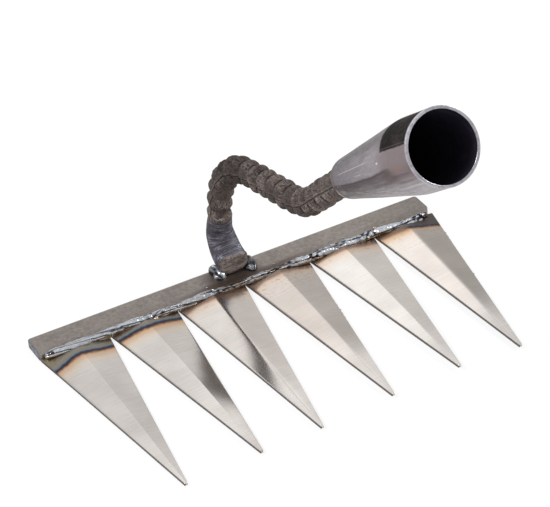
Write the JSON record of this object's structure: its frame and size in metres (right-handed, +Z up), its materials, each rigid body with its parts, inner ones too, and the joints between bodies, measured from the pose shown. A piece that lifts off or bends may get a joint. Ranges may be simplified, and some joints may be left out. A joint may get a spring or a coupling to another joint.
{
  "type": "thatch rake head",
  "caption": "Welded steel rake head: pointed plate teeth along a flat crossbar, a bent ribbed-rod neck and a tapered round socket for a wooden handle; loosens soil and pulls weeds and thatch.",
  "frame": {"origin": "centre of the crossbar's underside, on the plane that the head lies on", "axes": "+X along the crossbar to the right, -Y the way the teeth point, +Z up"},
  "size_m": [0.2311, 0.2441, 0.2131],
  "materials": {
    "bar_steel": "mill finish, browned by heat near the welds",
    "tooth_steel": "brushed, heat tinted along the seam",
    "weld_metal": "rippled weld bead",
    "rod_steel": "dark mill scale",
    "socket_steel": "hammered tube, part scaled"
  },
  "bodies": {
    "root": {"crossbar": "bar_steel", "tooth_1": "tooth_steel", "tooth_2": "tooth_steel", "tooth_3": "tooth_steel", "tooth_4": "tooth_steel", "tooth_5": "tooth_steel", "tooth_6": "tooth_steel", "seam_weld_1": "weld_metal", "seam_weld_2": "weld_metal", "seam_weld_3": "weld_metal", "seam_weld_4": "weld_metal", "seam_weld_5": "weld_metal", "seam_weld_6": "weld_metal", "neck_rod": "rod_steel", "neck_weld_left": "weld_metal", "neck_weld_right": "weld_metal", "socket": "socket_steel", "socket_weld": "weld_metal"}
  },
  "joints": []
}
